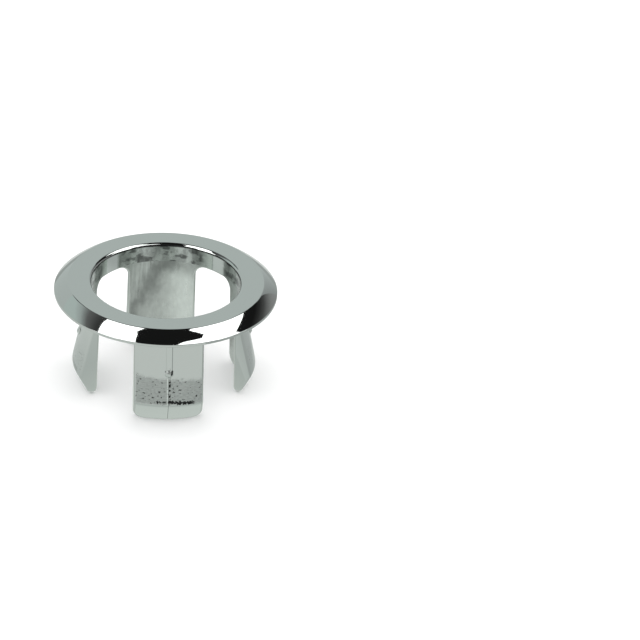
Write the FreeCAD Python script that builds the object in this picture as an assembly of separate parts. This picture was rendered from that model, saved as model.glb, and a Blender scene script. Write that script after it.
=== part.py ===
"""Basin overflow cover: a plated ring that snaps into the overflow hole of a wash basin.

One moulding: a flat flange with a sloping border, a short collar under it, and four springy
legs on the collar. Each leg leans outwards to a knee near its foot, which grips behind the
basin's wall, and tapers inwards below the knee so that it starts into the hole easily.

Millimetres, +Z up. The origin is on the ring's axis at the level of the leg tips, where the
cover stands. The legs point down and the flange's face is on top.
"""
import FreeCAD
import Part
import os
from math import hypot, radians, sin, tan

os.makedirs("parts", exist_ok=True)

# Driving sizes of the whole cover
FLANGE_DIAMETER = 30.0
FACE_DIAMETER = 26.3
BORE_DIAMETER = 20.0
TOTAL_HEIGHT = 15.2

# Flange: upright lip at the rim, bow of the sloping border, and edge finishes
FLANGE_THICKNESS = 1.7
LIP_HEIGHT = 0.4
BORDER_BOW = 0.08
FACE_EDGE_RADIUS = 0.35
LIP_EDGE_RADIUS = 0.12
BORE_EDGE_RADIUS = 0.45

# Collar: the closed band of wall between the flange and the windows
COLLAR_DIAMETER = 21.4
COLLAR_HEIGHT = 1.15
COLLAR_FILLET = 0.2

# Legs seen square on: number, width, turn about the axis, and corners
LEG_COUNT = 4
LEG_WIDTH = 9.3
LEG_TURN = 6.5
WINDOW_CORNER_RADIUS = 1.4
TIP_CORNER_RADIUS = 1.3

# Legs in radial section: where the lean and the inner flare start, then knee and tip
LEAN_BELOW_SEAT = 2.0
LEAN_RADIUS = 1.5
FLARE_BELOW_SEAT = 0.85
INNER_FLARE = 1.2
KNEE_DIAMETER = 24.9
KNEE_ABOVE_TIP = 2.8
KNEE_RADIUS = 0.8
TIP_THICKNESS = 0.75
OUTER_EDGE_RADIUS = 0.45
INNER_EDGE_RADIUS = 0.2

# Moulding rib down the middle of each leg's outer face, and the bead that ends it
RIB_WIDTH = 0.8
RIB_PROUD = 0.15
RIB_EDGE_RADIUS = 0.12
BEAD_DIAMETER = 1.3
BEAD_PROUD = 0.35
BEAD_BELOW_SEAT = 6.0

# Levels and radii that follow from the driving sizes
seat_level = TOTAL_HEIGHT - FLANGE_THICKNESS
window_level = seat_level - COLLAR_HEIGHT
lean_level = seat_level - LEAN_BELOW_SEAT
flare_level = seat_level - FLARE_BELOW_SEAT
bead_level = seat_level - BEAD_BELOW_SEAT
rim_radius = FLANGE_DIAMETER / 2
face_radius = FACE_DIAMETER / 2
bore_radius = BORE_DIAMETER / 2
collar_radius = COLLAR_DIAMETER / 2
knee_reach = KNEE_DIAMETER / 2
lean_slope = (knee_reach - collar_radius) / (lean_level - KNEE_ABOVE_TIP)

AXIS = FreeCAD.Vector(0, 0, 1)
ORIGIN = FreeCAD.Vector(0, 0, 0)

# Two measures nearer to each other than this are the same one
SAME = 0.001


def at(radius, level):
    """A point of the radial section."""
    return FreeCAD.Vector(radius, 0, level)


def wall_inside(level):
    """Radius of the wall's inner face at a level: the bore, then the legs' flare below it."""
    return bore_radius + max(flare_level - level, 0) * tan(radians(INNER_FLARE))


def wall_outside(level):
    """Radius of the wall's outer face between the seat and the knee."""
    return collar_radius + max(lean_level - level, 0) * lean_slope


def polygon(corners, radii):
    """Closed wire through the corners, each replaced by a tangent arc where its radius isn't 0."""
    count = len(corners)
    enters, bulges, leaves = [], [], []
    for index, corner in enumerate(corners):
        back = (corners[index - 1] - corner).normalize()
        ahead = (corners[(index + 1) % count] - corner).normalize()
        half_turn = back.getAngle(ahead) / 2
        setback = radii[index] / tan(half_turn)
        inward = (back + ahead).normalize()
        enters.append(corner + back * setback)
        bulges.append(corner + inward * (radii[index] / sin(half_turn) - radii[index]))
        leaves.append(corner + ahead * setback)
    edges = []
    for index in range(count):
        if radii[index] > 0:
            edges.append(Part.Arc(enters[index], bulges[index], leaves[index]).toShape())
        edges.append(Part.makeLine(leaves[index], enters[(index + 1) % count]))
    return Part.Wire(edges)


def turned(wire):
    """The solid that a closed section makes when it turns once about the axis."""
    return Part.Face(wire).revolve(ORIGIN, AXIS, 360)


def middle_of(edge):
    return edge.valueAt((edge.FirstParameter + edge.LastParameter) / 2)


def ring_edges(solid, radius, level):
    """The circular edges of a solid that run round the axis at a radius and a level."""
    found = []
    for edge in solid.Edges:
        point = middle_of(edge)
        level_edge = abs(edge.BoundBox.ZMin - edge.BoundBox.ZMax) < SAME
        if level_edge and abs(point.z - level) < SAME and abs(hypot(point.x, point.y) - radius) < SAME:
            found.append(edge)
    return found


def around(solid):
    """One copy of a solid for each leg, turned to the leg's place."""
    copies = []
    for index in range(LEG_COUNT):
        copy = solid.copy()
        copy.rotate(ORIGIN, AXIS, LEG_TURN + index * 360 / LEG_COUNT)
        copies.append(copy)
    return copies


def make_flange():
    """Flat face, bowed sloping border and upright lip in one turn, then the edges' roundings."""
    lip_top = seat_level + LIP_HEIGHT
    face_edge = at(face_radius, TOTAL_HEIGHT)
    lip_edge = at(rim_radius, lip_top)
    slope = face_edge - lip_edge
    outward = FreeCAD.Vector(slope.z, 0, -slope.x).normalize()
    crown = (face_edge + lip_edge) / 2 + outward * BORDER_BOW
    flange = turned(Part.Wire([
        Part.makeLine(at(bore_radius, seat_level), at(rim_radius, seat_level)),
        Part.makeLine(at(rim_radius, seat_level), lip_edge),
        Part.Arc(lip_edge, crown, face_edge).toShape(),
        Part.makeLine(face_edge, at(bore_radius, TOTAL_HEIGHT)),
        Part.makeLine(at(bore_radius, TOTAL_HEIGHT), at(bore_radius, seat_level)),
    ]))
    flange = flange.makeFillet(FACE_EDGE_RADIUS, ring_edges(flange, face_radius, TOTAL_HEIGHT))
    flange = flange.makeFillet(BORE_EDGE_RADIUS, ring_edges(flange, bore_radius, TOTAL_HEIGHT))
    lip_edges = ring_edges(flange, rim_radius, lip_top) + ring_edges(flange, rim_radius, seat_level)
    return flange.makeFillet(LIP_EDGE_RADIUS, lip_edges)


def make_skirt():
    """Collar and legs as one closed tube: straight collar, lean, knee and tip, before windows."""
    tip_inner = wall_inside(0)
    corners = [
        at(bore_radius, seat_level),
        at(bore_radius, flare_level),
        at(tip_inner, 0),
        at(tip_inner + TIP_THICKNESS, 0),
        at(knee_reach, KNEE_ABOVE_TIP),
        at(collar_radius, lean_level),
        at(collar_radius, seat_level),
    ]
    return turned(polygon(corners, [0, 0, 0, 0, KNEE_RADIUS, LEAN_RADIUS, 0]))


def make_leg_outline():
    """A leg seen square on, with half a window's top on each side, run out along the radius."""
    half = LEG_WIDTH / 2
    corners = [
        FreeCAD.Vector(0, -rim_radius, TOTAL_HEIGHT),
        FreeCAD.Vector(0, -rim_radius, window_level),
        FreeCAD.Vector(0, -half, window_level),
        FreeCAD.Vector(0, -half, 0),
        FreeCAD.Vector(0, half, 0),
        FreeCAD.Vector(0, half, window_level),
        FreeCAD.Vector(0, rim_radius, window_level),
        FreeCAD.Vector(0, rim_radius, TOTAL_HEIGHT),
    ]
    window, tip = WINDOW_CORNER_RADIUS, TIP_CORNER_RADIUS
    return Part.Face(polygon(corners, [0, 0, window, tip, tip, window, 0, 0])).extrude(at(rim_radius, 0))


def made_by_outline(face):
    """True for the faces that the leg outlines leave: sides, tips, window tops and their corners."""
    surface = face.Surface
    if isinstance(surface, Part.Cylinder):
        return abs(surface.Axis.z) < SAME
    return isinstance(surface, Part.Plane) and face.CenterOfMass.z < seat_level - SAME


def make_legs():
    """The skirt where the leg outlines keep it, with every cut edge rounded inside and outside."""
    outlines = around(make_leg_outline())
    legs = make_skirt().common(outlines[0].multiFuse(outlines[1:])).removeSplitter()
    sides = Part.Compound([face for face in legs.Faces if made_by_outline(face)])
    outer_edges, inner_edges = [], []
    for edge in sides.Edges:
        if len(sides.ancestorsOfType(edge, Part.Face)) > 1:
            continue
        point = middle_of(edge)
        depth = hypot(point.x, point.y) - wall_inside(point.z)
        (inner_edges if depth < SAME else outer_edges).append(edge)
    legs = legs.makeFillet(OUTER_EDGE_RADIUS, outer_edges)
    return legs.makeFillet(INNER_EDGE_RADIUS, same_edges(legs, inner_edges))


def same_edges(solid, edges):
    """The solid's own edges that lie where the given ones lay before another rounding."""
    middles = [middle_of(edge) for edge in edges]
    return [edge for edge in solid.Edges
            if any((middle_of(edge) - point).Length < SAME for point in middles)]


def make_rib():
    """Rounded rib from the flange down the leg's outer face, ended by a bead sunk in the wall."""
    root = (bore_radius + collar_radius) / 2
    section = Part.makePolygon([
        at(root, seat_level),
        at(collar_radius + RIB_PROUD, seat_level),
        at(collar_radius + RIB_PROUD, lean_level),
        at(wall_outside(bead_level) + RIB_PROUD, bead_level),
        at(root, bead_level),
        at(root, seat_level),
    ])
    rib = Part.Face(section).extrude(FreeCAD.Vector(0, RIB_WIDTH, 0))
    rib.translate(FreeCAD.Vector(0, -RIB_WIDTH / 2, 0))
    crests = [edge for edge in rib.Edges if is_crest(edge)]
    rib = rib.makeFillet(RIB_EDGE_RADIUS, crests)
    bead = Part.makeSphere(BEAD_DIAMETER / 2)
    bead.translate(at(wall_outside(bead_level) + BEAD_PROUD - BEAD_DIAMETER / 2, bead_level))
    return rib.fuse(bead)


def is_crest(edge):
    """True for the rib's long outer edges: those that run down it, away from the wall's middle."""
    low, high = edge.BoundBox.ZMin, edge.BoundBox.ZMax
    return high - low > SAME and middle_of(edge).x > collar_radius


def main():
    """The flange on the legs, the fillet between them, then a rib on each leg."""
    cover = make_flange().fuse(make_legs()).removeSplitter()
    cover = cover.makeFillet(COLLAR_FILLET, ring_edges(cover, collar_radius, seat_level))
    cover = cover.multiFuse(around(make_rib())).removeSplitter()
    solid = cover.Solids[0]
    solid.exportStep("parts/overflow_cover.step")
    print("overflow_cover: solids %d, valid %s, %.1f mm3, %d faces"
          % (len(cover.Solids), solid.isValid(), solid.Volume, len(solid.Faces)))


main()
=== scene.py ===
"""Looks of the basin overflow cover: one plated moulding, computed from its sizes, and a studio.

The cover is one closed surface. A section turned about the axis makes the flange, the bore and
the collar; each leg has an outer and an inner face on the same axis; and one rounded edge strip
runs all the way round windows and legs and joins the outer faces to the inner ones.
"""

import bpy
import numpy as np
from math import atan2, cos, hypot, pi, radians, sin, sqrt, tan
from mathutils import Matrix, Vector


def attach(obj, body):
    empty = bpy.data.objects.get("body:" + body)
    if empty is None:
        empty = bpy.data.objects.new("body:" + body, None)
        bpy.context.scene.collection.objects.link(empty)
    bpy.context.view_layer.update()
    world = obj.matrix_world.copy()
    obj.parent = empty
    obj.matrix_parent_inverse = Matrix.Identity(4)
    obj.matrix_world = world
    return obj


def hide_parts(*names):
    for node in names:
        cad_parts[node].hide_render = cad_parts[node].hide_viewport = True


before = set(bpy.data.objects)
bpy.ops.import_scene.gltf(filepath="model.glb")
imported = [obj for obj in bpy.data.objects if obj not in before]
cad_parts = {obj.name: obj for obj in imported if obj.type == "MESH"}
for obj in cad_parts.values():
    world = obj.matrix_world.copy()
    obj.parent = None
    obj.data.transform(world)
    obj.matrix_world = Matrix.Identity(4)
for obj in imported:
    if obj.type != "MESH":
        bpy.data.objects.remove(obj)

bl_info = {
    "name": "Basin overflow cover",
    "version": (1, 0, 0),
    "blender": (4, 5, 0),
    "location": "3D view > Sidebar > Cover",
    "description": "Builds a chrome basin overflow cover and its studio",
    "category": "Object",
}


class CoverSizes(bpy.types.PropertyGroup):
    """Sizes of the cover."""
    flange_diameter: bpy.props.FloatProperty(
        name="Flange diameter", description="Across the rim", default=0.030, unit="LENGTH")
    face_diameter: bpy.props.FloatProperty(
        name="Face diameter", description="Across the flat face, to its edge with the border",
        default=0.0263, unit="LENGTH")
    bore_diameter: bpy.props.FloatProperty(
        name="Bore diameter", description="Across the water way", default=0.020, unit="LENGTH")
    total_height: bpy.props.FloatProperty(
        name="Total height", description="From the leg tips to the flat face", default=0.0152,
        unit="LENGTH")
    flange_thickness: bpy.props.FloatProperty(
        name="Flange thickness", description="From the seat to the flat face", default=0.0017,
        unit="LENGTH")
    lip_height: bpy.props.FloatProperty(
        name="Lip height", description="Upright part of the rim", default=0.0004, unit="LENGTH")
    border_bow: bpy.props.FloatProperty(
        name="Border bow", description="How far the sloping border bulges", default=0.00008,
        unit="LENGTH")
    face_edge: bpy.props.FloatProperty(
        name="Face edge radius", description="Rounding between face and border", default=0.00035,
        unit="LENGTH")
    lip_edge: bpy.props.FloatProperty(
        name="Lip edge radius", description="Rounding of the lip's two edges", default=0.00012,
        unit="LENGTH")
    bore_edge: bpy.props.FloatProperty(
        name="Bore edge radius", description="Rounding between face and bore", default=0.00045,
        unit="LENGTH")
    collar_diameter: bpy.props.FloatProperty(
        name="Collar diameter", description="Across the collar under the flange", default=0.0214,
        unit="LENGTH")
    collar_height: bpy.props.FloatProperty(
        name="Collar height", description="From the seat to the windows", default=0.00115,
        unit="LENGTH")
    collar_fillet: bpy.props.FloatProperty(
        name="Collar fillet radius", description="Hollow between seat and collar", default=0.0002,
        unit="LENGTH")
    leg_width: bpy.props.FloatProperty(
        name="Leg width", description="Across a leg", default=0.0093, unit="LENGTH")
    leg_turn: bpy.props.FloatProperty(
        name="Leg turn", description="Turn of the legs about the axis", default=radians(6.5),
        subtype="ANGLE")
    window_corner: bpy.props.FloatProperty(
        name="Window corner radius", description="Upper corners of the windows", default=0.0014,
        unit="LENGTH")
    tip_corner: bpy.props.FloatProperty(
        name="Tip corner radius", description="Lower corners of the legs", default=0.0013,
        unit="LENGTH")
    lean_below_seat: bpy.props.FloatProperty(
        name="Lean below seat", description="Where the legs start to lean out", default=0.002,
        unit="LENGTH")
    lean_radius: bpy.props.FloatProperty(
        name="Lean radius", description="Bend where the lean starts", default=0.0015,
        unit="LENGTH")
    flare_below_seat: bpy.props.FloatProperty(
        name="Flare below seat", description="Where the inner faces leave the bore",
        default=0.00085, unit="LENGTH")
    inner_flare: bpy.props.FloatProperty(
        name="Inner flare", description="Slope of the legs' inner faces", default=radians(1.2),
        subtype="ANGLE")
    knee_diameter: bpy.props.FloatProperty(
        name="Knee diameter", description="Across the knees", default=0.0249, unit="LENGTH")
    knee_above_tip: bpy.props.FloatProperty(
        name="Knee above tip", description="Height of the knees", default=0.0028, unit="LENGTH")
    knee_radius: bpy.props.FloatProperty(
        name="Knee radius", description="Rounding of the knees", default=0.0008, unit="LENGTH")
    tip_thickness: bpy.props.FloatProperty(
        name="Tip thickness", description="Of a leg at its tip", default=0.00075, unit="LENGTH")
    outer_edge: bpy.props.FloatProperty(
        name="Outer edge radius", description="Outer edges of legs and windows", default=0.00045,
        unit="LENGTH")
    inner_edge: bpy.props.FloatProperty(
        name="Inner edge radius", description="Inner edges of legs and windows", default=0.0002,
        unit="LENGTH")
    rib_width: bpy.props.FloatProperty(
        name="Rib width", description="Across the rib on a leg", default=0.0008, unit="LENGTH")
    rib_proud: bpy.props.FloatProperty(
        name="Rib height", description="How far the rib stands proud", default=0.00015,
        unit="LENGTH")
    rib_edge: bpy.props.FloatProperty(
        name="Rib edge radius", description="Rounding along the rib", default=0.00012,
        unit="LENGTH")
    bead_diameter: bpy.props.FloatProperty(
        name="Bead diameter", description="Of the ball that ends the rib", default=0.0013,
        unit="LENGTH")
    bead_proud: bpy.props.FloatProperty(
        name="Bead height", description="How far the bead stands proud", default=0.00035,
        unit="LENGTH")
    bead_below_seat: bpy.props.FloatProperty(
        name="Bead below seat", description="Where the rib ends", default=0.006, unit="LENGTH")


class CoverColours(bpy.types.PropertyGroup):
    """Colours of the plating and the studio."""
    chrome: bpy.props.FloatVectorProperty(
        name="Chrome", description="Colour of the plating", default=(0.57, 0.60, 0.58),
        size=3, min=0, max=1, subtype="COLOR")
    floor: bpy.props.FloatVectorProperty(
        name="Floor", description="Colour of the floor", default=(0.93, 0.93, 0.93),
        size=3, min=0, max=1, subtype="COLOR")


LEG_COUNT = 4
SECTOR = 2 * pi / LEG_COUNT
MM = 1000  # millimetres in a metre

# Finishes of the moulding's faces, in the order of its materials
POLISHED, OUTER, INNER, BORE = 0, 1, 2, 3

# Points across a bend of a leg's section, a corner of its outline, a rounded edge, the bore's
# edge and the border, along a flat, and on half a window's top
BEND_STEPS, CORNER_STEPS, EDGE_STEPS = 9, 17, 7
BORE_EDGE_STEPS, BORDER_STEPS, FLAT_STEPS, WINDOW_STEPS = 11, 16, 10, 6

# Metres: the plain rows of a leg keep this far from the rows of its bead and its knee
BEAD_CLEAR, KNEE_CLEAR = 0.00075, 0.00045
# Metres: half the width of the narrow columns down a leg's middle, on rib and bead
CORE = 0.0009
# Metres: points nearer than the weld are one; slopes of the relief are taken over the step
WELD, SLOPE_STEP = 2e-8, 2e-6


def arc(centre, radius, start, end, steps):
    """Points and outward normals of an arc: centre + radius (sin a, cos a), a from start to end."""
    angle = np.linspace(start, end, steps)
    normals = np.stack([np.sin(angle), np.cos(angle)], 1)
    return np.array(centre) + radius * normals, normals


def straight(start, end, steps, normal):
    """Points of a straight line, ends left out, with one normal."""
    share = np.linspace(0, 1, steps + 2)[1:-1, None]
    points = np.array(start) * (1 - share) + np.array(end) * share
    return points, np.tile(normal, (steps, 1))


def rounded(corners, radii, steps):
    """Path through corners, each turned into an arc that touches both lines.

    The normals lie left of the direction (x, y) -> (-y, x). An arc's points are
    centre + side radius n, n turning evenly from one line's normal to the next one's.
    """
    corners = np.array(corners, float)
    along = np.diff(corners, axis=0)
    along /= np.linalg.norm(along, axis=1)[:, None]
    normals = np.stack([-along[:, 1], along[:, 0]], 1)
    points, facing = [corners[:1]], [normals[:1]]
    for index, radius in enumerate(radii):
        before, after = along[index], along[index + 1]
        turn = atan2(before[0] * after[1] - before[1] * after[0], before @ after)
        side = -np.sign(turn)
        angle = atan2(normals[index][1], normals[index][0]) + np.linspace(0, turn, steps)
        normal = np.stack([np.cos(angle), np.sin(angle)], 1)
        touch = corners[index + 1] - before * radius * tan(abs(turn) / 2)
        points.append(touch - side * radius * normals[index] + side * radius * normal)
        facing.append(normal)
    return np.concatenate(points + [corners[-1:]]), np.concatenate(facing + [normals[-1:]])


class Wall:
    """Radius and normal of a leg's outer or inner face as functions of the level."""

    def __init__(self, corners, radii, sign):
        points, normals = rounded(corners, radii, BEND_STEPS)
        self.level, self.radius = points[::-1, 1], points[::-1, 0]
        self.tilt = np.arctan2(sign * normals[::-1, 1], sign * normals[::-1, 0])
        if sign < 0:
            self.tilt = np.mod(self.tilt, 2 * pi)

    def at(self, level):
        return np.interp(level, self.level, self.radius)

    def normal(self, level):
        tilt = np.interp(level, self.level, self.tilt)
        return np.cos(tilt), np.sin(tilt)


def walls(sizes):
    """The outer and the inner face of collar and legs in radial section."""
    seat = sizes.total_height - sizes.flange_thickness
    bore, collar = sizes.bore_diameter / 2, sizes.collar_diameter / 2
    flare = seat - sizes.flare_below_seat
    tip = bore + flare * tan(sizes.inner_flare)
    outer = Wall([(collar, seat), (collar, seat - sizes.lean_below_seat),
                  (sizes.knee_diameter / 2, sizes.knee_above_tip), (tip + sizes.tip_thickness, 0)],
                 [sizes.lean_radius, sizes.knee_radius], 1)
    inner = Wall([(bore, sizes.total_height), (bore, flare), (tip, 0)], [sizes.lean_radius], -1)
    return outer, inner


def edge_strip(points, first, second, radius):
    """Rounded edge between two faces: c + radius n, n from the first normal to the second.

    c = p - radius (first + second) / (1 + first . second) is the rolling ball's centre.
    """
    dot = np.sum(first * second, -1)[:, None]
    centre = points - radius * (first + second) / (1 + dot)
    angle = np.arccos(np.clip(dot, -1, 1))[:, None, :]
    share = np.linspace(0, 1, EDGE_STEPS)[None, :, None]
    normals = np.sin((1 - share) * angle) * first[:, None] + np.sin(share * angle) * second[:, None]
    normals /= np.linalg.norm(normals, axis=-1)[..., None]
    return [centre[:, None] + radius * normals, normals]


def leg_rows(sizes):
    """Half outline of a leg seen square on, from the window's corner round to the tip's edge.

    The rows lie close together at the bead and at the knee, and evenly elsewhere.
    """
    half, knee = sizes.leg_width / 2, sizes.knee_above_tip
    seat = sizes.total_height - sizes.flange_thickness
    window, bead = seat - sizes.collar_height, seat - sizes.bead_below_seat
    points, normals = rounded([(3 * half, window), (half, window), (half, 0), (0, 0)],
                              [sizes.window_corner, sizes.tip_corner], CORNER_STEPS)
    corner = slice(1, 1 + CORNER_STEPS)
    tip = slice(1 + CORNER_STEPS, 1 + 2 * CORNER_STEPS)
    near_bead = bead + np.linspace(-1.1, 1.1, 23) * sizes.bead_diameter / 2
    near_knee = knee + np.linspace(-0.5, 0.5, 15) * sizes.knee_radius
    plain = np.linspace(points[tip][0, 1], points[corner][-1, 1], 26)[1:-1]
    clear_of_both = (np.abs(plain - bead) > BEAD_CLEAR) & (np.abs(plain - knee) > KNEE_CLEAR)
    levels = np.sort(np.concatenate([near_bead, near_knee, plain[clear_of_both]]))[::-1]
    side = np.stack([np.full(len(levels), half), levels], 1)
    rows = np.concatenate([points[corner], side, points[tip]])
    facing = np.concatenate([normals[corner], np.tile([1.0, 0.0], (len(levels), 1)), normals[tip]])
    return rows, facing


def rib_path(sizes):
    """Half of the rib's cross section, from its middle out: distance across the leg, height."""
    half, proud = sizes.rib_width / 2, sizes.rib_proud
    side = sizes.rib_edge / 2
    points, _ = rounded([(0, proud), (half - side, proud), (half + side, 0), (2 * half, 0)],
                        [sizes.rib_edge, sizes.rib_edge], 6)
    return points


def relief(sizes, across, level):
    """How far rib and bead stand out of a leg's outer face: the higher of the two.

    The rib's height is its cross section; the bead's is sqrt(R^2 - across^2 - drop^2) - sunk.
    """
    path = rib_path(sizes)
    bead = sizes.total_height - sizes.flange_thickness - sizes.bead_below_seat
    rib = np.interp(np.abs(across), path[:, 0], path[:, 1]) * (level > bead)
    radius = sizes.bead_diameter / 2
    ball = np.sqrt(np.maximum(radius ** 2 - across ** 2 - (level - bead) ** 2, 0))
    return np.maximum(rib, np.maximum(ball - (radius - sizes.bead_proud), 0))


def on_wall(wall, across, level, sizes=None):
    """Points and normals on a leg's face: x = sqrt(r^2 - across^2), r from the wall's section.

    Where sizes are given, rib and bead stand out of the face.
    """
    radius = wall.at(level)
    out, up = wall.normal(level)
    lift = slope_across = slope_level = np.zeros(np.broadcast(across, level).shape)
    if sizes:
        step = SLOPE_STEP
        lift = relief(sizes, across, level)
        slope_across = (relief(sizes, across + step, level)
                        - relief(sizes, across - step, level)) / (2 * step)
        slope_level = (relief(sizes, across, level + step)
                       - relief(sizes, across, level - step)) / (2 * step)
    angle = np.arcsin(across / radius)
    points = np.stack([(radius + lift) * np.cos(angle), (radius + lift) * np.sin(angle),
                       level + 0 * across], -1)
    face = np.stack([out * np.cos(angle), out * np.sin(angle), up + 0 * angle], -1)
    side = np.stack([-np.sin(angle), np.cos(angle), 0 * angle], -1)
    normals = face - slope_across[..., None] * side
    normals[..., 2] -= slope_level
    return [points, normals / np.linalg.norm(normals, axis=-1)[..., None]]


def spun(points, turn):
    """Points or normals turned about the axis by an angle."""
    c, s = cos(turn), sin(turn)
    return points @ np.array([[c, s, 0], [-s, c, 0], [0, 0, 1]])


class Surface:
    """Collects grids of points with their normals and welds them into one closed mesh."""

    def __init__(self, turn):
        self.turn, self.count = turn, 0
        self.points, self.normals, self.faces = [], [], []
        self.finishes, self.across, self.leg = [], [], []

    def add(self, points, normals, leg, finish, flip=False):
        """A grid turned to its leg's place, and its faces' finish: one for all or one a row."""
        rows, columns = points.shape[:2]
        self.across.append(points[..., 1].reshape(-1) * MM)
        self.leg.append(np.full(rows * columns, float(leg)))
        turn = self.turn + leg * SECTOR
        self.points.append(spun(points, turn).reshape(-1, 3))
        self.normals.append(spun(normals, turn).reshape(-1, 3))
        index = self.count + np.arange(rows * columns).reshape(rows, columns)
        corners = (index[:-1, :-1], index[1:, :-1], index[1:, 1:], index[:-1, 1:])
        quads = np.stack(corners, -1).reshape(-1, 4)
        self.faces.append(quads[:, ::-1] if flip else quads)
        self.finishes.append(np.repeat(np.broadcast_to(finish, rows - 1), columns - 1))
        self.count += rows * columns

    def build(self, name):
        """The mesh: points nearer than the weld are one, and faces without area go."""
        points, normals = np.concatenate(self.points), np.concatenate(self.normals)
        keys = np.round(points / WELD).astype(np.int64)
        _, first, inverse = np.unique(keys, axis=0, return_index=True, return_inverse=True)
        faces = inverse.reshape(-1)[np.concatenate(self.faces)]
        finishes = np.concatenate(self.finishes)
        double = faces == np.roll(faces, -1, 1)
        whole, corner = ~double.any(1), double.sum(1) == 1
        # a quad with one welded side is rolled until that side comes last, and is a triangle
        turned = (np.argmax(double[corner], 1)[:, None] + np.arange(1, 4)) % 4
        triangles = np.take_along_axis(faces[corner], turned, 1)
        mesh = bpy.data.meshes.new(name)
        mesh.from_pydata(points[first], [], faces[whole].tolist() + triangles.tolist())
        mesh.polygons.foreach_set(
            "material_index", np.concatenate([finishes[whole], finishes[corner]]))
        for label, values in (("across_leg", self.across), ("leg_number", self.leg)):
            mesh.attributes.new(label, "FLOAT", "POINT").data.foreach_set(
                "value", np.concatenate(values)[first])
        mesh.shade_smooth()
        mesh.normals_split_custom_set_from_vertices(normals[first].tolist())
        return mesh


def onward(points, normals):
    """A part of a section without its first point, where the part before it ends."""
    return points[1:], normals[1:]


def flange_section(sizes, start, end):
    """The section turned about the axis, from the bore's lower end over the face to the collar.

    Gives points (radius, level), normals, and each row's evenness: 1 where the columns are
    spaced evenly round the axis, 0 where they follow the legs and the windows.
    """
    top, seat = sizes.total_height, sizes.total_height - sizes.flange_thickness
    bore, collar = sizes.bore_diameter / 2, sizes.collar_diameter / 2
    rim, face, lip = sizes.flange_diameter / 2, sizes.face_diameter / 2, seat + sizes.lip_height
    # the border's large arc, and the small arcs that touch it from inside
    chord = np.array([rim - face, lip - top])
    length, bow = hypot(*chord), sizes.border_bow
    large = (length ** 2 / 4 + bow ** 2) / (2 * bow)
    outward = np.array([-chord[1], chord[0]]) / length
    middle = np.array([face, top]) + chord / 2 - (large - bow) * outward
    face_z = top - sizes.face_edge
    face_r = middle[0] + sqrt((large - sizes.face_edge) ** 2 - (face_z - middle[1]) ** 2)
    lip_r = rim - sizes.lip_edge
    lip_z = middle[1] + sqrt((large - sizes.lip_edge) ** 2 - (lip_r - middle[0]) ** 2)
    upper = atan2(face_r - middle[0], face_z - middle[1])
    lower = atan2(lip_r - middle[0], lip_z - middle[1])
    edge, fillet = sizes.bore_edge, sizes.collar_fillet
    hollow, out = arc((collar + fillet, seat - fillet), fillet, 0, -pi / 2, EDGE_STEPS)
    # each part: its points, their normals, and the evenness at its start and at its end
    parts = [
        (np.array([start]), np.array([(-1.0, 0.0)]), 0, 0),
        (*straight(start, (bore, top - edge), 4, (-1.0, 0.0)), 0, 0),
        (*arc((bore + edge, top - edge), edge, -pi / 2, 0, BORE_EDGE_STEPS), 0, 0),
        (*straight((bore + edge, top), (face_r, top), FLAT_STEPS, (0.0, 1.0)), 0, 1),
        (*arc((face_r, face_z), sizes.face_edge, 0, upper, EDGE_STEPS), 1, 1),
        (*onward(*arc(middle, large, upper, lower, BORDER_STEPS)), 1, 1),
        (*onward(*arc((lip_r, lip_z), sizes.lip_edge, lower, pi / 2, EDGE_STEPS)), 1, 1),
        (*arc((lip_r, seat + sizes.lip_edge), sizes.lip_edge, pi / 2, pi, EDGE_STEPS), 1, 1),
        (*straight((lip_r, seat), (collar + fillet, seat), FLAT_STEPS, (0.0, -1.0)), 1, 0),
        (hollow, -out, 0, 0),
        (*straight((collar, seat - fillet), end, 2, (1.0, 0.0)), 0, 0),
        (np.array([end]), np.array([(1.0, 0.0)]), 0, 0),
    ]
    points, normals = (np.concatenate([part[k] for part in parts]) for k in (0, 1))
    even = np.concatenate([np.linspace(part[2], part[3], len(part[0]) + 2)[1:-1]
                           for part in parts])
    return points, normals, even


def side_strip(wall, radius, rows, facing):
    """Rounded edge of a face, from a window's middle round its corner and the leg's to the tip."""
    reach = wall.at(rows[0, 1])
    corner = np.arcsin(rows[0, 0] / reach)
    angle = np.linspace(SECTOR / 2, corner, WINDOW_STEPS + 1)[:-1]
    across = np.concatenate([reach * np.sin(angle), rows[:, 0]])
    level = np.concatenate([np.full(WINDOW_STEPS, rows[0, 1]), rows[:, 1]])
    side = np.concatenate([np.tile([0.0, -1.0], (WINDOW_STEPS, 1)), facing])
    points, first = on_wall(wall, across, level)
    return edge_strip(points, first, np.concatenate([np.zeros((len(side), 1)), side], 1), radius)


def leg_face(wall, strip, path, sizes=None):
    """A leg's face, out to its rounded edge, whose first line then is the face's border.

    The columns go from the middle out: the rib's own, the bead's up to the core, then even ones.
    """
    border = strip[0][WINDOW_STEPS:, 0]
    reach = np.abs(border[:, 1])[:, None]
    # each row a hair lower than the one before it, so that no two share a level
    level = np.minimum.accumulate(border[:, 2]) - 1e-9 * np.arange(len(border))
    fixed = np.concatenate([path, np.linspace(path[-1], CORE, 7)[1:]])
    spread = CORE + np.linspace(0, 1, 9)[None, 1:] * (reach - CORE)
    half = np.concatenate([np.tile(fixed, (len(reach), 1)), spread], 1)
    across = np.concatenate([-half[:, :0:-1], half], 1)
    face = on_wall(wall, across, level[:, None] + 0 * across, sizes)
    for k in (0, 1):
        strip[k][WINDOW_STEPS:, 0] = face[k][:, -1]
    return face


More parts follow.
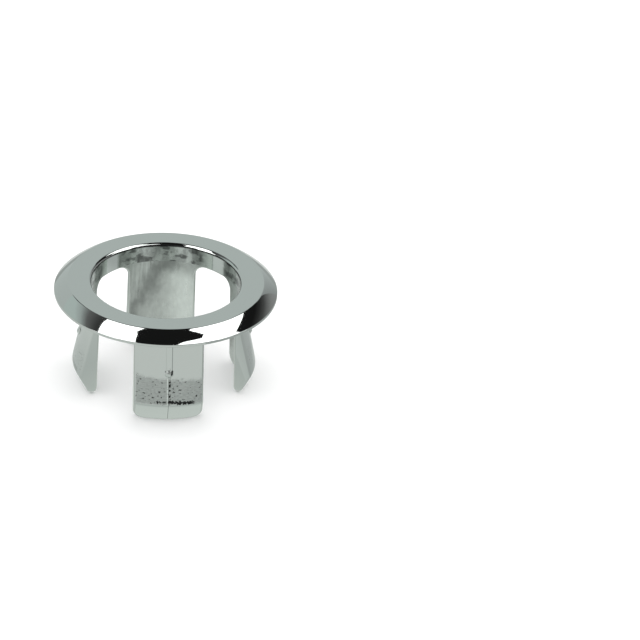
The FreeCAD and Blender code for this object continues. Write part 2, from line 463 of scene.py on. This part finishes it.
def tip_strip(wall, radius, face, corner):
    """Rounded edge along a leg's tip: the face's last row carried down to the straight edge."""
    across = face[0][-1][:, 1]
    points, first = on_wall(wall, across / across[-1] * corner, np.zeros(len(across)))
    strip = edge_strip(points, first, np.tile([0.0, 0.0, -1.0], (len(across), 1)), radius)
    for k in (0, 1):
        strip[k][:, 0] = face[k][-1]
    return strip


def leg_strip(sides, tips):
    """A leg's edge strip all the way round; across it the outer rounding, then the inner one."""
    right, tip = ([np.concatenate([strip["outer"][k], strip["inner"][k][:, ::-1]], 1)
                   for k in (0, 1)] for strip in (sides, tips))
    left = [value[::-1] * np.array([1, -1, 1]) for value in right]
    for k in (0, 1):
        tip[k][0], tip[k][-1] = left[k][0], right[k][-1]
    return [np.concatenate([right[k][:-1], tip[k][::-1], left[k][1:]]) for k in (0, 1)]


def turned_ring(sizes, outer, inner, faces, sides):
    """A quarter of the turned section: points, normals, and a finish for each row of faces.

    The rows at the walls have the columns of the legs and windows, and those at the rim even
    ones. The upper end of the rib stands out of the collar's rows.
    """
    angles = {}
    for key, (points, _) in faces.items():
        window = sides[key][0][:WINDOW_STEPS, 0]
        leg, side = (np.arctan2(row[:, 1], row[:, 0]) for row in (points[0], window))
        angles[key] = np.concatenate([-side, leg, side[::-1]])
    z_in, z_out = sides["inner"][0][0, 0, 2], sides["outer"][0][0, 0, 2]
    section, normals, even = flange_section(
        sizes, (float(inner.at(z_in)), z_in), (float(outer.at(z_out)), z_out))
    reach, level, even = section[:, :1], section[:, 1:], even[:, None]
    row = np.arange(len(section))[:, None]
    rim = int(np.argmax(reach))
    even_angles = np.linspace(-SECTOR / 2, SECTOR / 2, len(angles["outer"]))
    wall_angles = np.where(row < rim, angles["inner"], angles["outer"])
    theta = even * even_angles + (1 - even) * wall_angles
    across = (sizes.collar_diameter / 2) * np.sin(theta)
    lift = relief(sizes, across, np.full_like(across, z_out)) * ((1 - even) * (row > rim))
    ring = np.stack([(reach + lift) * np.cos(theta), (reach + lift) * np.sin(theta),
                     level + 0 * theta], -1)
    ring_normals = np.stack([normals[:, :1] * np.cos(theta), normals[:, :1] * np.sin(theta),
                             normals[:, 1:] + 0 * theta], -1)
    slope = np.gradient(lift, axis=1) / np.gradient(reach * theta, axis=1)
    sideways = np.stack([-np.sin(theta), np.cos(theta), 0 * theta], -1)
    ring_normals = ring_normals - (slope * np.abs(normals[:, :1]))[..., None] * sideways
    ring_normals /= np.linalg.norm(ring_normals, axis=-1)[..., None]
    in_bore = (reach < sizes.bore_diameter / 2 + 0.1 * sizes.bore_edge) & (row < rim)
    return ring, ring_normals, np.where(in_bore[:-1, 0], BORE, POLISHED)


def build_cover(sizes):
    """The whole moulding as one closed surface."""
    outer, inner = walls(sizes)
    rows, facing = leg_rows(sizes)
    path = rib_path(sizes)[:-1, 0]
    sides, faces, tips = {}, {}, {}
    for key, wall, radius, relief_sizes in (("outer", outer, sizes.outer_edge, sizes),
                                            ("inner", inner, sizes.inner_edge, None)):
        sides[key] = side_strip(wall, radius, rows, facing)
        faces[key] = leg_face(wall, sides[key], path, relief_sizes)
        tips[key] = tip_strip(wall, radius, faces[key], rows[-1, 0])
    strip = leg_strip(sides, tips)
    ring, ring_normals, ring_finish = turned_ring(sizes, outer, inner, faces, sides)
    surface = Surface(sizes.leg_turn)
    for leg in range(LEG_COUNT):
        surface.add(ring, ring_normals, leg, ring_finish)
        surface.add(*faces["outer"], leg, OUTER)
        surface.add(*faces["inner"], leg, INNER, flip=True)
        surface.add(*strip, leg, POLISHED)
    return surface.build("overflow_cover_moulding")


def put(tree, kind, values=(), **settings):
    """A node with its settings; a value that is a socket or a field is linked, others are set."""
    node = tree.nodes.new("ShaderNode" + kind)
    for name, value in settings.items():
        setattr(node, name, value)
    for name, value in dict(values).items():
        if isinstance(value, Field):
            value = value.socket
        if isinstance(value, bpy.types.NodeSocket):
            tree.links.new(value, node.inputs[name])
        else:
            node.inputs[name].default_value = value
    return node


class Field:
    """A number that changes over the surface, held as a node's output; sums add Math nodes."""

    def __init__(self, tree, socket):
        self.tree, self.socket = tree, socket

    def maths(self, operation, *others):
        """The result of one Math node over this field and other fields, sockets or numbers."""
        values = dict(enumerate((self, *others)))
        return Field(self.tree, put(self.tree, "Math", values, operation=operation).outputs[0])

    def __add__(self, other):
        return self.maths("ADD", other)

    def __sub__(self, other):
        return self.maths("SUBTRACT", other)

    def __rsub__(self, other):
        return self.maths("MULTIPLY_ADD", -1.0, other)

    def __mul__(self, other):
        return self.maths("MULTIPLY", other)

    def __abs__(self):
        return self.maths("ABSOLUTE")

    __radd__, __rmul__ = __add__, __mul__

    def highest(self, *others):
        """The highest of this field and the others."""
        result = self
        for other in others:
            result = result.maths("MAXIMUM", other)
        return result

    def ease(self, start, end):
        """0 where the field is at the start, 1 where it is at the end, with soft ends."""
        node = put(self.tree, "MapRange", {"Value": self, "From Min": start, "From Max": end},
                   interpolation_type="SMOOTHSTEP")
        return Field(self.tree, node.outputs["Result"])


def noise(tree, where, scale, detail):
    """Smooth noise from 0 to 1 at the given places."""
    node = put(tree, "TexNoise", {"Vector": where, "Scale": scale, "Detail": detail})
    return Field(tree, node.outputs[0])


def new_group(name, inputs, outputs):
    """An empty node group with named number sockets."""
    group = bpy.data.node_groups.new(name, "ShaderNodeTree")
    for label, default in inputs:
        group.interface.new_socket(
            label, in_out="INPUT", socket_type="NodeSocketFloat").default_value = default
    for label in outputs:
        group.interface.new_socket(label, in_out="OUTPUT", socket_type="NodeSocketFloat")
    given, out = group.nodes.new("NodeGroupInput"), group.nodes.new("NodeGroupOutput")
    return group, given.outputs, out.inputs


def waves_group():
    """The slight waviness of plating on a moulding: two sizes of swell added up as a height."""
    group, given, out = new_group("plating_waves", [("Swell", 1.0), ("Ripple", 1.0)], ["Height"])
    place = put(group, "TexCoord").outputs["Object"]
    height = (noise(group, place, 260.0, 1.0) * given["Swell"]
              + noise(group, place, 1500.0, 2.0) * given["Ripple"])
    group.links.new(height.socket, out["Height"])
    return group


def leg_place_group():
    """Where a point lies on its leg: millimetres across it, its level, and the leg's number."""
    group, _, out = new_group("leg_place", [], ["Across", "Level", "Leg"])
    place = put(group, "SeparateXYZ", {0: put(group, "TexCoord").outputs["Object"]})
    level = MM * Field(group, place.outputs["Z"])
    group.links.new(level.socket, out["Level"])
    for label, name in (("Across", "across_leg"), ("Leg", "leg_number")):
        attribute = put(group, "Attribute", attribute_name=name)
        group.links.new(attribute.outputs["Fac"], out[label])
    return group


def place_on_leg(tree, leg_place):
    """The leg_place group's outputs as fields: across, level, leg."""
    outputs = put(tree, "Group", node_tree=leg_place).outputs
    return [Field(tree, outputs[name]) for name in ("Across", "Level", "Leg")]


# Noises on the legs: patches a millimetre across and down, detail, and a shift of their own
WANDER, GRAIN, SPECKS = (0.6, 0.6, 2.0, 0.0), (2.2, 9.0, 3.0, 2.0), (2.6, 3.8, 1.0, 4.0)
JAGS, BREAKS, DASHES = (5.0, 3.0, 2.0, 6.0), (1.6, 0.3, 3.0, 8.0), (1.5, 2.2, 2.0, 12.0)
# CLOUDS shapes the painted shade and the painted light on the legs' inner faces
STREAKS, CLOUDS, MOTTLE = (3.5, 0.3, 3.0, 0.0), (0.45, 0.4, 3.0, 3.0), (1.6, 0.9, 4.0, 9.0)

# Noises on the bore's wall, which shape its painted reflection: patches a metre round it and down
# it, and a shift
BORE_CLOUDS, BORE_STREAKS = (1200.0, 500.0, 0.0), (500.0, 1100.0, 5.0)

# How far apart the same noise lies on one leg and on the next
NEXT_LEG = 7.3


def leg_noise(place, kind):
    """Noise on a leg's face, different on each leg."""
    (across, level, leg), (wide, tall, detail, shift) = place, kind
    tree = across.tree
    where = put(tree, "CombineXYZ", {0: wide * across, 1: tall * level, 2: NEXT_LEG * leg + shift})
    return noise(tree, where.outputs[0], 1.0, detail)


def bore_noise(tree, place, kind):
    """Noise on the bore's wall, with no seam, as it is read from the place itself."""
    around, down, shift = kind
    where = put(tree, "VectorMath", {0: place, 1: (around, around, down), 2: (shift, shift, 0)},
                operation="MULTIPLY_ADD")
    return noise(tree, where.outputs[0], 1.0, 3.0)


def start_material(name, colour, roughness):
    """A metal with a plain colour and roughness."""
    material = bpy.data.materials.new(name)
    material.use_nodes = True
    shader = material.node_tree.nodes["Principled BSDF"]
    shader.inputs["Base Color"].default_value = (*colour, 1)
    shader.inputs["Metallic"].default_value = 1
    shader.inputs["Roughness"].default_value = roughness
    return material, material.node_tree, shader


def finish_plating(tree, shader, colour, tone, roughness):
    """Sets the shader's colour, which is the plating's times the tone, and its roughness."""
    scaled = put(tree, "VectorMath", {0: colour, "Scale": tone}, operation="SCALE")
    tree.links.new(scaled.outputs[0], shader.inputs["Base Color"])
    tree.links.new(roughness.socket, shader.inputs["Roughness"])


def add_waves(tree, shader, waves, swell, ripple, extra=None):
    """Sets the plating's waviness, and any further relief, on the shader's normal."""
    node = put(tree, "Group", {"Swell": swell, "Ripple": ripple}, node_tree=waves)
    height = Field(tree, node.outputs["Height"])
    if extra is not None:
        height = height + extra
    depth = 0.00001
    bump = put(tree, "Bump", {"Strength": 1.0, "Distance": depth, "Height": height})
    tree.links.new(bump.outputs["Normal"], shader.inputs["Normal"])


def polished_material(colours, waves):
    """Mirror-bright plating of the flange, the collar and all rounded edges."""
    material, tree, shader = start_material("polished_plating", colours.chrome, 0.04)
    add_waves(tree, shader, waves, 1.2, 0.12)
    return material


def foot_line(place):
    """The jagged, broken dark line at the foot of a leg's pitted patch, 3.5 mm above the tip."""
    across, level, _ = place
    line_level = 3.46 - 0.06 * across.highest(0.0)
    away = abs(level - line_level + 0.9 * leg_noise(place, JAGS) - 0.45)
    thicker = 0.12 * across.ease(-0.2, 0.3)
    broken = (leg_noise(place, BREAKS) + 0.16 * across.ease(-0.2, 0.4)).ease(0.44, 0.54)
    return (away - thicker).ease(0.15, 0.07) * broken * abs(across - 0.4).ease(3.4, 2.6)


def outer_material(sizes, colours, waves, leg_place):
    """Plating of the legs' outer faces: clean above, dull and pitted down to the knee, painted
    highlights.
    """
    material, tree, shader = start_material("outer_leg_plating", colours.chrome, 0.1)
    place = place_on_leg(tree, leg_place)
    across, level, leg = place
    bead = MM * (sizes.total_height - sizes.flange_thickness - sizes.bead_below_seat)
    # all of the wear on the front leg, which is the last, and a quarter of it on the others
    worn = 0.25 + 0.75 * leg.ease(2.4, 2.6)
    border = 6.1 + 1.2 * leg_noise(place, WANDER) - 0.08 * across
    pitted = (border - level).ease(-0.35, 0.45) * level.ease(2.95, 3.3) * worn
    dull = pitted * (0.02 + 0.22 * leg_noise(place, GRAIN).ease(0.35, 0.7))
    specks = pitted * leg_noise(place, SPECKS).ease(0.645, 0.69)
    # the mould's seam below the rib: a dark line, a painted highlight beside it, and dark dashes
    below = level.ease(7.0, 6.8)
    seam = abs(across + 0.05).ease(0.07, 0.02) * below
    seam_painted_highlight = abs(across + 0.19).ease(0.1, 0.04) * below * level.ease(2.9, 3.2)
    near_bead = abs(level - bead).ease(0.75, 0.55)
    dashes = (abs(across - (0.1 + 0.25 * near_bead)).ease(0.2, 0.08)
              * pitted.highest(near_bead * worn) * leg_noise(place, DASHES).ease(0.46, 0.52))
    dark = specks.highest(foot_line(place) * worn, dashes, 0.45 * seam)
    from_bead = (across * across + (level - bead) * (level - bead)).maths("SQRT")
    on_bead = from_bead.ease(0.6, 0.5)
    tone = 1.0 - dull.highest(0.95 * dark) + seam_painted_highlight * (0.1 + 0.45 * pitted)
    # painted light: the tips below the knee are 1.2 times brighter, and the bead is 1.3 times
    # brighter
    tone = tone * (1.0 + 0.2 * level.ease(2.95, 2.7)) * (1.0 + 0.3 * on_bead)
    finish_plating(tree, shader, colours.chrome, tone,
                   (0.08 + 0.25 * pitted).highest(0.45 * on_bead))
    add_waves(tree, shader, waves, 0.5, 0.1, -1.5 * dark.highest(0.5 * dull))
    return material


def inner_material(colours, waves, leg_place):
    """Duller plating of the legs' inner faces: upright streaks, and soft clouds of painted shade
    and light.
    """
    material, tree, shader = start_material("inner_leg_plating", colours.chrome, 0.3)
    place = place_on_leg(tree, leg_place)
    across, level, _ = place
    streaks, clouds = leg_noise(place, STREAKS), leg_noise(place, CLOUDS)
    # millimetres from the slanting middle line of the painted shade band towards the streaky side
    offset = across + (0.57 * level - 7.85) + (4.4 * clouds - 1.0)
    painted_shade_band = abs(offset).ease(2.7, 0.2)
    clear = (2.0 * clouds + across).ease(1.6, -2.4) * level.ease(12.0, 9.8)
    streaky = offset.ease(0.0, 1.8) * (streaks - 0.5)
    mottle = leg_noise(place, MOTTLE) - 0.5
    # painted shade darkens a slanting band; painted light brightens one side low down
    tone = 0.88 - 0.36 * painted_shade_band + 0.42 * clear + 0.9 * streaky + 0.35 * mottle
    finish_plating(tree, shader, colours.chrome, tone, 0.2 + 0.2 * streaks)
    add_waves(tree, shader, waves, 0.6, 0.3)
    return material


def bore_material(sizes, colours, waves):
    """Plating of the bore: bright between the legs; above each, duller, with painted reflection in
    clouds and streaks.
    """
    material, tree, shader = start_material("bore_plating", colours.chrome, 0.1)
    place = put(tree, "TexCoord").outputs["Object"]
    x, y, z = (Field(tree, output) for output in put(tree, "SeparateXYZ", {0: place}).outputs)
    level = MM * z
    # 1 over the middle of each leg, -1 over the middle of each window
    by_leg = (LEG_COUNT * y.maths("ARCTAN2", x) - LEG_COUNT * sizes.leg_turn).maths("COSINE")
    above_leg = by_leg.ease(-0.95, -0.5)
    # painted reflection: darker patches in clouds and streaks above each leg
    clouds = bore_noise(tree, place, BORE_CLOUDS).ease(0.35, 0.6)
    streaks = bore_noise(tree, place, BORE_STREAKS).ease(0.49, 0.56)
    painted_reflection_patches = 0.05 + 0.36 * clouds + 0.42 * streaks
    # painted reflection: the thin dark line where the rounded edge turns down into the bore
    turning = MM * (sizes.total_height - sizes.bore_edge)
    line = level.ease(turning - 0.05, turning + 0.11)
    tone = (1.08 - above_leg * painted_reflection_patches) * (1.0 - 0.75 * line)
    finish_plating(tree, shader, colours.chrome, tone, 0.05 + 0.16 * above_leg)
    add_waves(tree, shader, waves, 1.0, 0.2)
    return material


class COVER_OT_moulding(bpy.types.Operator):
    """Makes the plated moulding: flange, collar and four legs in one piece"""
    bl_idname = "cover.moulding"
    bl_label = "Make the moulding"

    def execute(self, context):
        scene = context.scene
        sizes, colours = scene.cover_sizes, scene.cover_colours
        waves, leg_place = waves_group(), leg_place_group()
        mesh = build_cover(sizes)
        mesh.materials.append(polished_material(colours, waves))
        mesh.materials.append(outer_material(sizes, colours, waves, leg_place))
        mesh.materials.append(inner_material(colours, waves, leg_place))
        mesh.materials.append(bore_material(sizes, colours, waves))
        piece = bpy.data.objects.new("overflow_cover_moulding", mesh)
        scene.collection.objects.link(piece)
        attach(piece, "root")
        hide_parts("overflow_cover")
        return {"FINISHED"}


def flat(height, *places):
    """Corners of a level card."""
    return [(x, y, height) for x, y in places]


def upright(start, end, low, high):
    """Corners of an upright card between two places on the floor."""
    return [(*start, low), (*end, low), (*end, high), (*start, high)]


UP, RIGHT, BACK, BACK_LEFT = (0, 0, 1), (1, 0, 0), (0, 1, 0), (-0.7071, 0.7071, 0)

# Half the width of the floor, and its distance below the cards, in metres
FLOOR_REACH, CARD_DROP = 3, 1e-4

# Each glow's direction, None for outwards from the origin, and its steps: metres, tone or colour
GLOWS = {
    # painted shadow: the floor seen in chrome is darker within 40 mm of the axis, darkest 16 mm out
    "floor_in_chrome_painted_shadow": (None, [(0, (0.74, 0.78, 0.75)), (0.010, (0.70, 0.74, 0.71)),
                                    (0.016, (0.62, 0.66, 0.64)), (0.04, (0.79, 0.82, 0.80)),
                                    (0.3, (0.81, 0.84, 0.82))]),
    # painted shadow: a darker band on the floor seen in chrome, from 17 mm right of the axis
    "floor_right_painted_shadow": (RIGHT, [(0.012, (0.70, 0.74, 0.72)), (0.017, (0.50, 0.53, 0.52)),
                            (0.05, (0.56, 0.59, 0.58)), (0.1, (0.79, 0.82, 0.80))]),
    "dark_ceiling": (UP, [(0, 0.012), (1, 0.012)]),
    "softbox": (UP, [(0, 3.0), (1, 3.0)]),
    "left_fade": (BACK_LEFT, [(0.557, 0.055), (0.64, 0.06), (0.88, 0.17),
                              (1.1, (0.47, 0.52, 0.51)), (1.35, (0.60, 0.68, 0.66))]),
    "front_wall": (UP, [(0, 0.12), (0.35, 0.08), (1.02, 0.03)]),
    "back_wall": (RIGHT, [(-2.4, (0.60, 0.64, 0.63)), (0.2, (0.63, 0.68, 0.67)),
                          (0.75, (0.38, 0.40, 0.40))]),
    "back_sweep": (UP, [(0, (0.44, 0.47, 0.46)), (1, (0.44, 0.47, 0.46))]),
    "side_wall": (BACK, [(-0.7, 0.012), (-0.1, 0.05), (0.4, (0.50, 0.55, 0.53)),
                         (1.2, (0.60, 0.65, 0.63))]),
    "right_wall": (UP, [(0, 0.38), (0.32, 0.336), (0.437, 0.295), (0.56, 0.2), (0.69, 0.09),
                        (0.84, 0.036), (1.0, 0.012)]),
}

# What the chrome sees: the floor, with a painted shadow round the cover and to its right, a dark
# ceiling a metre up, a softbox on each side below it, a fade to the left wall, and the walls.
# Each card's name, glow and corners in metres
CARDS = [
    ("floor_in_chrome_painted_shadow", "floor_in_chrome_painted_shadow",
     flat(-CARD_DROP, (-FLOOR_REACH, -FLOOR_REACH), (FLOOR_REACH, -FLOOR_REACH),
          (FLOOR_REACH, FLOOR_REACH), (-FLOOR_REACH, FLOOR_REACH))),
    ("floor_right_painted_shadow", "floor_right_painted_shadow",
     flat(-CARD_DROP / 2, (0.012, -0.03), (0.1, -0.03), (0.1, 0.03), (0.012, 0.03))),
    ("ceiling", "dark_ceiling",
     flat(1.02, (-1.3, -1.2), (1.25, -1.2), (1.25, 1.3), (-0.6, 1.3), (-1.3, 0.2))),
    ("ceiling_corner", "dark_ceiling",
     flat(1.005, (-0.85, 0.92), (-0.1, 0.92), (-0.1, 1.3), (-0.85, 1.3))),
    ("softbox_left", "softbox",
     flat(1, (-0.16, 0.10), (-0.35, 0.44), (-1.0, -0.21), (-1.0, -1.0), (-0.50, -1.0),
          (-0.34, -0.37), (-0.27, -0.16), (-0.257, -0.055), (-0.20, 0.03))),
    ("softbox_right", "softbox",
     flat(1, (0.17, 0.70), (0.209, 0.057), (0.298, 0.003), (0.411, -0.067), (0.44, -0.20),
          (0.24, -0.377), (0.14, -0.60), (1.02, -0.60), (0.96, 0.10), (0.68, 0.70))),
    ("softbox_left_side", "softbox", upright((-1.0, -1.0), (-1.0, -0.21), 0.45, 1)),
    ("softbox_right_side", "softbox", upright((1.02, -0.6), (0.96, 0.10), 0.45, 1)),
    ("fade_left", "left_fade",
     flat(1.01, (0.0, 0.79), (-1.8, -1.01), (-3.0, 0.2), (-0.9, 2.3))),
    ("sweep_back", "back_sweep",
     [(-2.4, 0.1, 0.0), (0.78, 0.1, 0.0), (0.78, 1.25, 0.02), (-2.4, 1.25, 0.02)]),
    ("wall_front", "front_wall", upright((-1.6, -1.2), (1.4, -1.2), 0, 1.02)),
    ("wall_right_front", "front_wall", upright((1.55, -0.1), (1.4, -1.2), 0, 1.3)),
    ("wall_left", "side_wall", upright((-2.4, 1.25), (-1.6, -1.2), 0, 1.3)),
    ("wall_back", "back_wall", upright((-2.4, 1.25), (0.78, 1.25), 0, 1.3)),
    ("wall_right", "right_wall", upright((0.78, 1.25), (1.55, -0.1), 0, 1.5)),
]


def sheet(name, corners, material, **seen):
    """A flat sheet of the studio through the given corners, and which rays see it."""
    mesh = bpy.data.meshes.new(name)
    mesh.from_pydata(corners, [], [tuple(range(len(corners)))])
    mesh.materials.append(material)
    piece = bpy.data.objects.new(name, mesh)
    bpy.context.scene.collection.objects.link(piece)
    for ray, on in seen.items():
        setattr(piece, "visible_" + ray, on)


def glow_material(name, direction, stops):
    """A card's glow: steps along a direction, or outwards from the origin, in metres."""
    material = bpy.data.materials.new(name)
    material.use_nodes = True
    tree = material.node_tree
    tree.nodes.clear()
    place = put(tree, "TexCoord").outputs["Object"]
    if direction:
        along = put(tree, "VectorMath", {0: place, 1: direction}, operation="DOT_PRODUCT")
    else:
        along = put(tree, "VectorMath", {0: place}, operation="LENGTH")
    first, last = stops[0][0], stops[-1][0]
    spread = put(tree, "MapRange", {"Value": along.outputs["Value"], "From Min": first,
                                    "From Max": last})
    ramp = put(tree, "ValToRGB", {"Fac": spread.outputs["Result"]})
    # a new ramp has two points; the further ones wait at its end until they get their places
    for _ in stops[2:]:
        ramp.color_ramp.elements.new(1.0)
    for point, (distance, tone) in zip(ramp.color_ramp.elements, stops):
        point.position = (distance - first) / (last - first)
        point.color = (*(np.array(tone) * np.ones(3)), 1)
    glow = put(tree, "Emission", {"Color": ramp.outputs["Color"]})
    put(tree, "OutputMaterial", {"Surface": glow.outputs["Emission"]})
    return material


def paper_material(name, colour):
    """Matt paper."""
    material = bpy.data.materials.new(name)
    material.use_nodes = True
    shader = material.node_tree.nodes["Principled BSDF"]
    shader.inputs["Base Color"].default_value = (*colour, 1)
    shader.inputs["Roughness"].default_value = 1.0
    shader.inputs["Specular IOR Level"].default_value = 0.0
    return material


class COVER_OT_stage(bpy.types.Operator):
    """Sets up the floor, the soft light and the camera"""
    bl_idname = "cover.stage"
    bl_label = "Make the studio"

    def execute(self, context):
        scene = context.scene
        reach, room_light = FLOOR_REACH, 1.45
        sheet("floor", flat(0, (-reach, -reach), (reach, -reach), (reach, reach), (-reach, reach)),
              paper_material("floor_paper", scene.cover_colours.floor), glossy=False)
        glows = {name: glow_material(name, *glow) for name, glow in GLOWS.items()}
        for name, glow, corners in CARDS:
            sheet(name, corners, glows[glow], camera=False, diffuse=False, shadow=False)
        scene.view_settings.view_transform = "Standard"
        world = bpy.data.worlds.new("soft_room")
        world.use_nodes = True
        background = world.node_tree.nodes["Background"]
        background.inputs["Color"].default_value = (1, 1, 1, 1)
        background.inputs["Strength"].default_value = room_light
        scene.world = world
        add_camera(scene)
        return {"FINISHED"}


def add_camera(scene):
    """The camera at the photograph's angle: 30 degrees up, rolled a little, from half a metre."""
    elevation, roll, distance = radians(30.08), radians(-2.95), 0.5
    # where the face's centre lies in the view, in metres right of its middle and above it
    across, upward = -0.02064, 0.00537
    flat_right = Vector((1, 0, 0))
    rise = Vector((0, sin(elevation), cos(elevation)))
    ahead = Vector((0, cos(elevation), -sin(elevation)))
    right = cos(roll) * flat_right - sin(roll) * rise
    up = sin(roll) * flat_right + cos(roll) * rise
    data = bpy.data.cameras.new("camera")
    data.sensor_width, data.lens = 36.0, 209.73
    data.clip_start, data.clip_end = 0.01, 20
    camera = bpy.data.objects.new("camera", data)
    centre = Vector((0, 0, scene.cover_sizes.total_height))
    place = centre - right * across - up * upward - ahead * distance
    turn = Matrix((right, up, -ahead)).transposed().to_4x4()
    camera.matrix_world = Matrix.Translation(place) @ turn
    scene.collection.objects.link(camera)
    scene.camera = camera


class COVER_PT_panel(bpy.types.Panel):
    """The cover's sizes, colours and steps"""
    bl_label = "Basin overflow cover"
    bl_idname = "COVER_PT_panel"
    bl_space_type = "VIEW_3D"
    bl_region_type = "UI"
    bl_category = "Cover"

    def draw(self, context):
        for group in (context.scene.cover_sizes, context.scene.cover_colours):
            for name in group.__annotations__:
                self.layout.prop(group, name)
        self.layout.operator(COVER_OT_moulding.bl_idname)
        self.layout.operator(COVER_OT_stage.bl_idname)


CLASSES = (CoverSizes, CoverColours, COVER_OT_moulding, COVER_OT_stage, COVER_PT_panel)


def register():
    for item in CLASSES:
        bpy.utils.register_class(item)
    bpy.types.Scene.cover_sizes = bpy.props.PointerProperty(type=CoverSizes)
    bpy.types.Scene.cover_colours = bpy.props.PointerProperty(type=CoverColours)


def unregister():
    del bpy.types.Scene.cover_colours
    del bpy.types.Scene.cover_sizes
    for item in reversed(CLASSES):
        bpy.utils.unregister_class(item)


def main():
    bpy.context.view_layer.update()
    register()
    bpy.ops.cover.moulding()
    bpy.ops.cover.stage()


if __name__ == "__main__":
    main()
